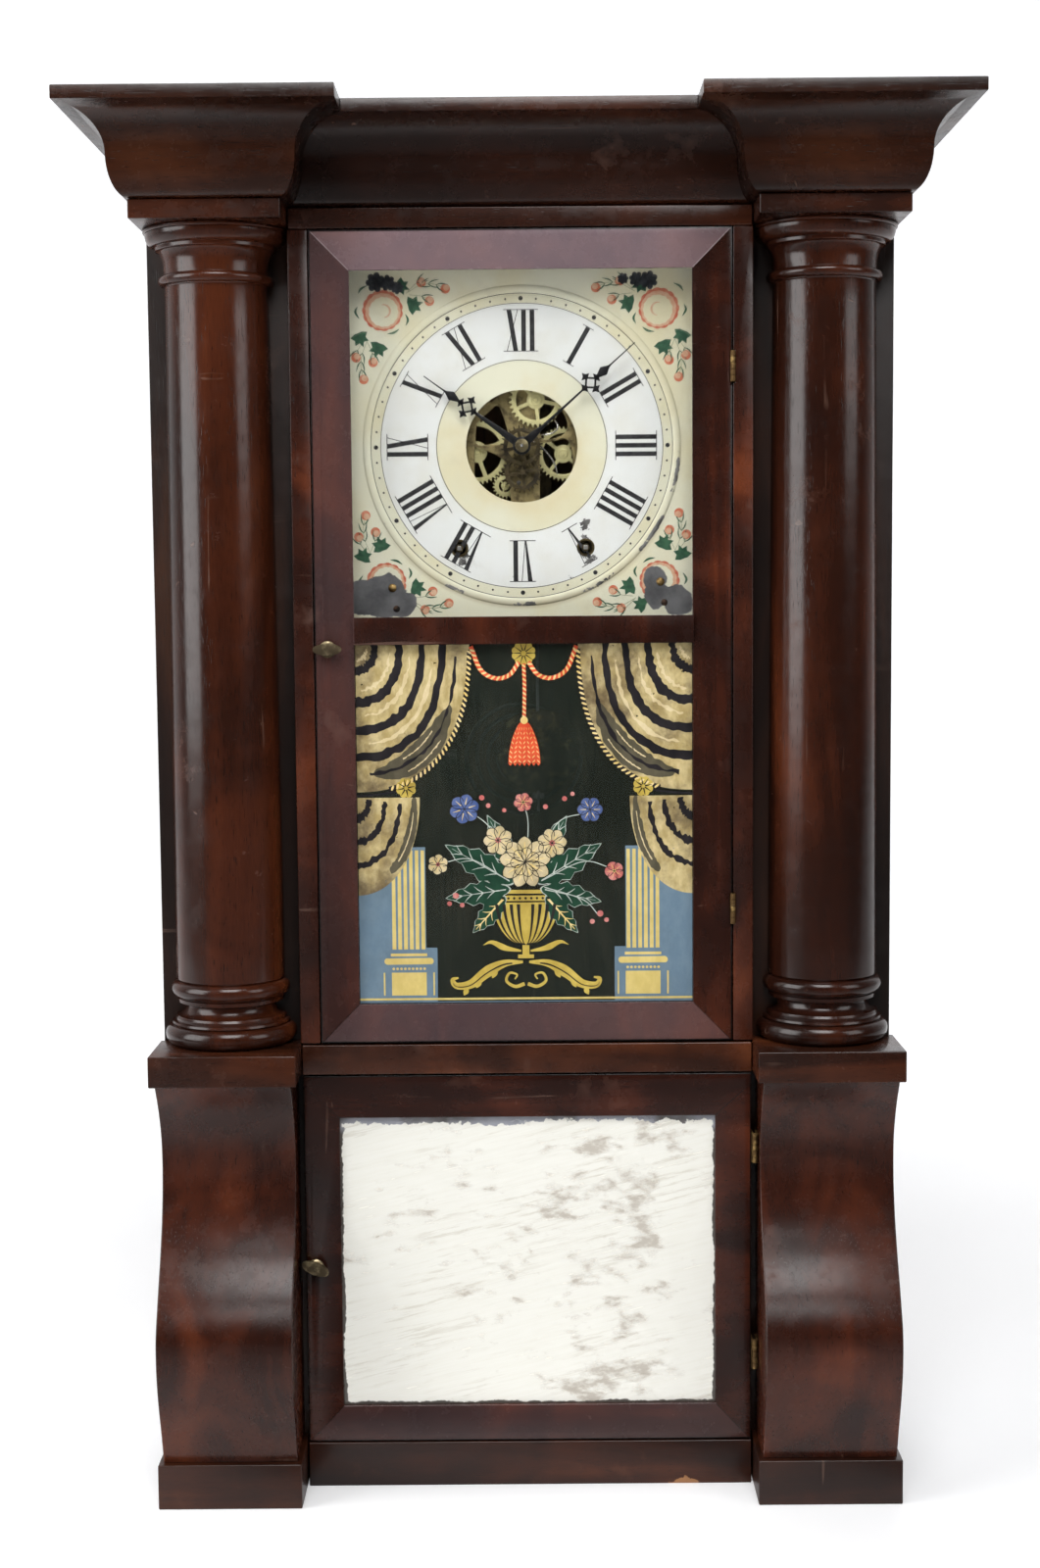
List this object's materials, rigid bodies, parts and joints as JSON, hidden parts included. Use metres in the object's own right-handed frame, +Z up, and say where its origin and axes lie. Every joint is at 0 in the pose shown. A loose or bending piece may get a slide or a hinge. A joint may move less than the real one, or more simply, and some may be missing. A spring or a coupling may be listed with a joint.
{
  "type": "shelf clock",
  "caption": "Tall weight-driven shelf clock with a glazed dial door, a mirrored lower door, half columns, scroll brackets and a moulded cornice.",
  "frame": {"origin": "middle of the footprint, on the surface the clock stands on", "axes": "+Z up, +Y from the dial towards the back, +X to the right seen from the front"},
  "size_m": [0.5396, 0.1834, 0.864],
  "materials": {
    "mahogany": "satin varnish",
    "pine": "bare",
    "brass": "aged",
    "blued_steel": "dull",
    "black_steel": "satin",
    "cast_iron": "rough",
    "painted_dial": "aged paint",
    "glass": "old clear",
    "painted_tablet": "painted on the back",
    "mirror": "aged silvering",
    "cord": "waxed"
  },
  "bodies": {
    "case": {"case_side_left": "pine", "case_side_right": "pine", "back_board": "pine", "top_board": "pine", "bottom_board": "pine", "face_board_left": "mahogany", "face_board_right": "mahogany", "door_stile_left": "mahogany", "door_stile_right": "mahogany", "top_rail": "mahogany", "middle_rail": "mahogany", "bottom_rail": "mahogany", "base_block_left": "mahogany", "base_block_right": "mahogany", "scroll_bracket_left": "mahogany", "scroll_bracket_right": "mahogany", "plinth_cap_left": "mahogany", "plinth_cap_right": "mahogany", "half_column_left": "mahogany", "half_column_right": "mahogany", "cornice_block_left": "mahogany", "cornice_block_right": "mahogany", "centre_cornice": "mahogany", "upper_case_top_hinge_leaf": "brass", "upper_case_bottom_hinge_leaf": "brass", "lower_case_top_hinge_leaf": "brass", "lower_case_bottom_hinge_leaf": "brass", "movement_front_plate": "brass", "movement_back_plate": "brass", "dial_plate": "painted_dial", "gong": "blued_steel", "time_cord": "cord", "strike_cord": "cord"},
    "upper_door": {"upper_door_frame": "mahogany", "upper_door_glass": "glass", "painted_tablet": "painted_tablet", "upper_door_top_hinge_leaf": "brass", "upper_door_bottom_hinge_leaf": "brass"},
    "upper_turn_key": {"upper_turn_key": "brass"},
    "lower_door": {"lower_door_frame": "mahogany", "mirror_glass": "mirror", "lower_door_top_hinge_leaf": "brass", "lower_door_bottom_hinge_leaf": "brass"},
    "lower_turn_key": {"lower_turn_key": "brass"},
    "minute_hand": {"centre_arbor": "blued_steel", "minute_hand": "black_steel"},
    "hour_hand": {"hour_wheel": "brass", "hour_hand": "black_steel"},
    "minute_wheel": {"minute_wheel": "brass"},
    "escape_wheel": {"escape_wheel": "brass"},
    "pendulum": {"verge_and_crutch": "blued_steel", "pendulum_rod": "blued_steel", "pendulum_bob": "brass"},
    "strike_hammer": {"strike_hammer": "blued_steel"},
    "time_weight": {"time_weight": "cast_iron"},
    "time_drum": {"time_drum": "brass"},
    "time_pulley": {"time_pulley": "pine"},
    "strike_weight": {"strike_weight": "cast_iron"},
    "strike_drum": {"strike_drum": "brass"},
    "strike_pulley": {"strike_pulley": "pine"}
  },
  "joints": [
    {"name": "upper_door_swing", "type": "hinge", "parent": "case", "child": "upper_door", "pos_m": [0.1299, -0.0209, 0.539], "axis": [0, 0, 1], "range_deg": [0, 110]},
    {"name": "upper_key_turn", "type": "hinge", "parent": "upper_door", "child": "upper_turn_key", "pos_m": [-0.1216, -0.019, 0.5365], "axis": [0, 1, 0], "range_deg": [0, 90]},
    {"name": "lower_door_swing", "type": "hinge", "parent": "case", "child": "lower_door", "pos_m": [0.1439, -0.0209, 0.144], "axis": [0, 0, 1], "range_deg": [0, 90]},
    {"name": "lower_key_turn", "type": "hinge", "parent": "lower_door", "child": "lower_turn_key", "pos_m": [-0.1354, -0.019, 0.144], "axis": [0, 1, 0], "range_deg": [0, 90]},
    {"name": "minute_hand_turn", "type": "hinge", "parent": "case", "child": "minute_hand", "pos_m": [0, 0.0078, 0.6623], "axis": [0, 1, 0], "continuous": true},
    {"name": "hour_hand_turn", "type": "hinge", "parent": "case", "child": "hour_hand", "pos_m": [0, 0.0078, 0.6623], "axis": [0, 1, 0], "continuous": true},
    {"name": "minute_wheel_turn", "type": "hinge", "parent": "case", "child": "minute_wheel", "pos_m": [0, 0.0131, 0.6463], "axis": [0, 1, 0], "continuous": true},
    {"name": "escape_wheel_turn", "type": "hinge", "parent": "case", "child": "escape_wheel", "pos_m": [0.009, 0.0147, 0.6916], "axis": [0, 1, 0], "continuous": true},
    {"name": "pendulum_swing", "type": "hinge", "parent": "case", "child": "pendulum", "pos_m": [0.009, 0.0573, 0.716], "axis": [0, 1, 0], "range_deg": [-4, 4]},
    {"name": "hammer_lift", "type": "hinge", "parent": "case", "child": "strike_hammer", "pos_m": [-0.0545, 0.0748, 0.64], "axis": [0, 1, 0], "range_deg": [0, 2.5]},
    {"name": "time_weight_fall", "type": "slide", "parent": "case", "child": "time_weight", "axis": [0, 0, 1], "range_m": [-0.295, 0.295], "deforming": ["time_cord"]},
    {"name": "time_drum_turn", "type": "hinge", "parent": "case", "child": "time_drum", "pos_m": [0.0398, 0.0338, 0.5988], "axis": [0, 1, 0], "range_deg": [-972.4, 972.4]},
    {"name": "time_pulley_turn", "type": "hinge", "parent": "case", "child": "time_pulley", "pos_m": [0.15, 0.0338, 0.832], "axis": [0, 1, 0], "range_deg": [-972.4, 972.4]},
    {"name": "strike_weight_fall", "type": "slide", "parent": "case", "child": "strike_weight", "axis": [0, 0, 1], "range_m": [-0.295, 0.295], "deforming": ["strike_cord"]},
    {"name": "strike_drum_turn", "type": "hinge", "parent": "case", "child": "strike_drum", "pos_m": [-0.0398, 0.0338, 0.5988], "axis": [0, 1, 0], "range_deg": [-972.4, 972.4]},
    {"name": "strike_pulley_turn", "type": "hinge", "parent": "case", "child": "strike_pulley", "pos_m": [-0.15, 0.0338, 0.832], "axis": [0, 1, 0], "range_deg": [-972.4, 972.4]}
  ],
  "couplings": [
    {"joint": "hour_hand_turn", "follows": "minute_hand_turn", "ratio": 0.083333},
    {"joint": "minute_wheel_turn", "follows": "minute_hand_turn", "ratio": -0.33333},
    {"joint": "time_drum_turn", "follows": "time_weight_fall", "rad_per_m": -57.471},
    {"joint": "time_pulley_turn", "follows": "time_weight_fall", "rad_per_m": -57.471},
    {"joint": "strike_drum_turn", "follows": "strike_weight_fall", "rad_per_m": 57.471},
    {"joint": "strike_pulley_turn", "follows": "strike_weight_fall", "rad_per_m": 57.471}
  ]
}
